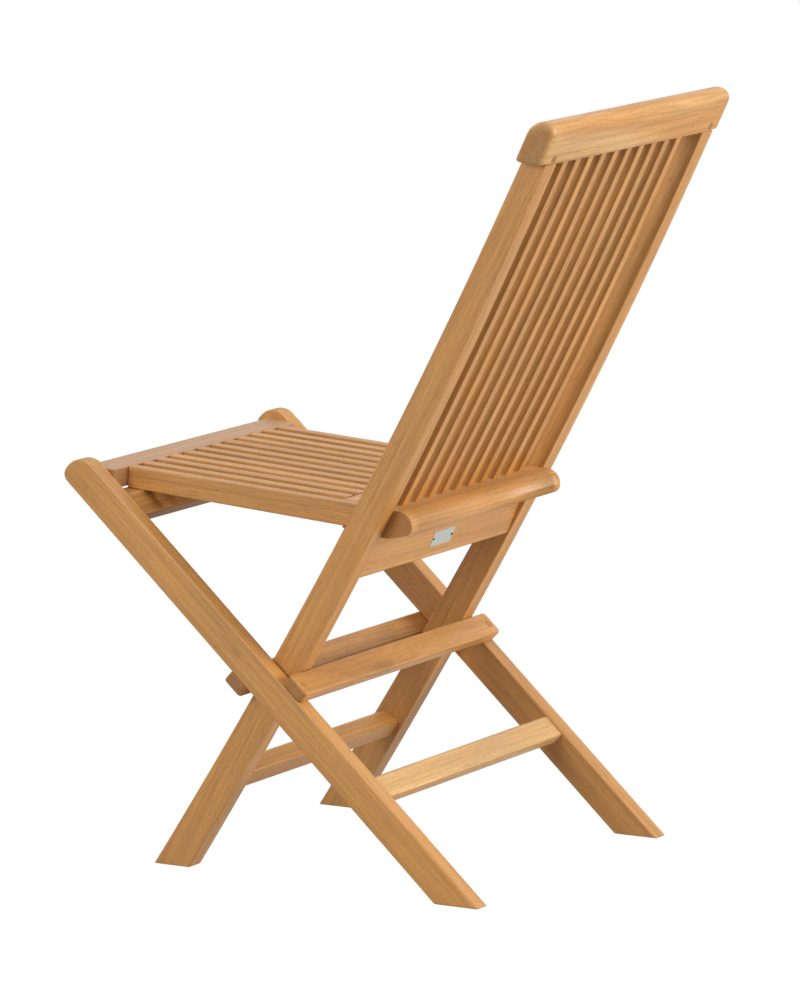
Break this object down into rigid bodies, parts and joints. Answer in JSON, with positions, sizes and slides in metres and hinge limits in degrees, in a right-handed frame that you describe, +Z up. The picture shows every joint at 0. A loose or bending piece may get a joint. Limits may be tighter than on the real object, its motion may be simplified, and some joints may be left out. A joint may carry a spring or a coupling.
{
  "type": "folding teak side chair",
  "caption": "Armless folding wooden chair: slatted seat and raked slatted back, rear legs crossing the back frame at a pivot and held open by two stop bars.",
  "frame": {"origin": "on the floor, midway across the width and midway between the frontmost and rearmost points of the opened chair", "axes": "+Z up, the chair faces -Y, so the backrest leans toward +Y; +X is the sitter's left"},
  "size_m": [0.47, 0.6546, 0.9211],
  "materials": {
    "teak": "oiled honey-brown teak, fine straight grain, satin",
    "teak_plug": "end-grain teak plugs, sanded flush",
    "brass": "plain turned pivot pins and washers"
  },
  "bodies": {
    "back_frame": {"back_stile_left": "teak", "back_stile_right": "teak", "top_rail": "teak", "back_slat_01": "teak", "back_slat_02": "teak", "back_slat_03": "teak", "back_slat_04": "teak", "back_slat_05": "teak", "back_slat_06": "teak", "back_slat_07": "teak", "back_slat_08": "teak", "back_slat_09": "teak", "back_slat_10": "teak", "nosing_board": "teak", "apron_rail": "teak", "front_stretcher": "teak", "top_rail_peg_left": "teak_plug", "top_rail_peg_right": "teak_plug"},
    "leg_frame": {"rear_leg_left": "teak", "rear_leg_right": "teak", "leg_crossbar": "teak", "rear_stop_bar": "teak", "front_stop_bar": "teak", "rear_stretcher": "teak", "stop_bar_plug_left": "teak_plug", "stop_bar_plug_right": "teak_plug", "leg_pivot_pin_left": "brass", "leg_pivot_pin_right": "brass", "leg_pivot_washer_left": "brass", "leg_pivot_washer_right": "brass"},
    "seat": {"seat_front_board": "teak", "seat_side_rail_left": "teak", "seat_side_rail_right": "teak", "seat_slat_01": "teak", "seat_slat_02": "teak", "seat_slat_03": "teak", "seat_slat_04": "teak", "seat_slat_05": "teak", "seat_slat_06": "teak", "seat_slat_07": "teak", "seat_slat_08": "teak", "seat_slat_09": "teak", "seat_slat_10": "teak", "seat_rear_rail": "teak", "seat_pivot_pin_left": "brass", "seat_pivot_pin_right": "brass"}
  },
  "joints": [
    {"name": "leg_hinge", "type": "hinge", "parent": "back_frame", "child": "leg_frame", "pos_m": [0, -0.04995, 0.23508], "axis": [-1, 0, 0], "range_deg": [0, 66]},
    {"name": "seat_hinge", "type": "hinge", "parent": "back_frame", "child": "seat", "pos_m": [0, 0.05986, 0.4403], "axis": [-1, 0, 0], "range_deg": [0, 102.3]}
  ],
  "couplings": [
    {"joint": "seat_hinge", "follows": "leg_hinge", "ratio": 1.55}
  ]
}
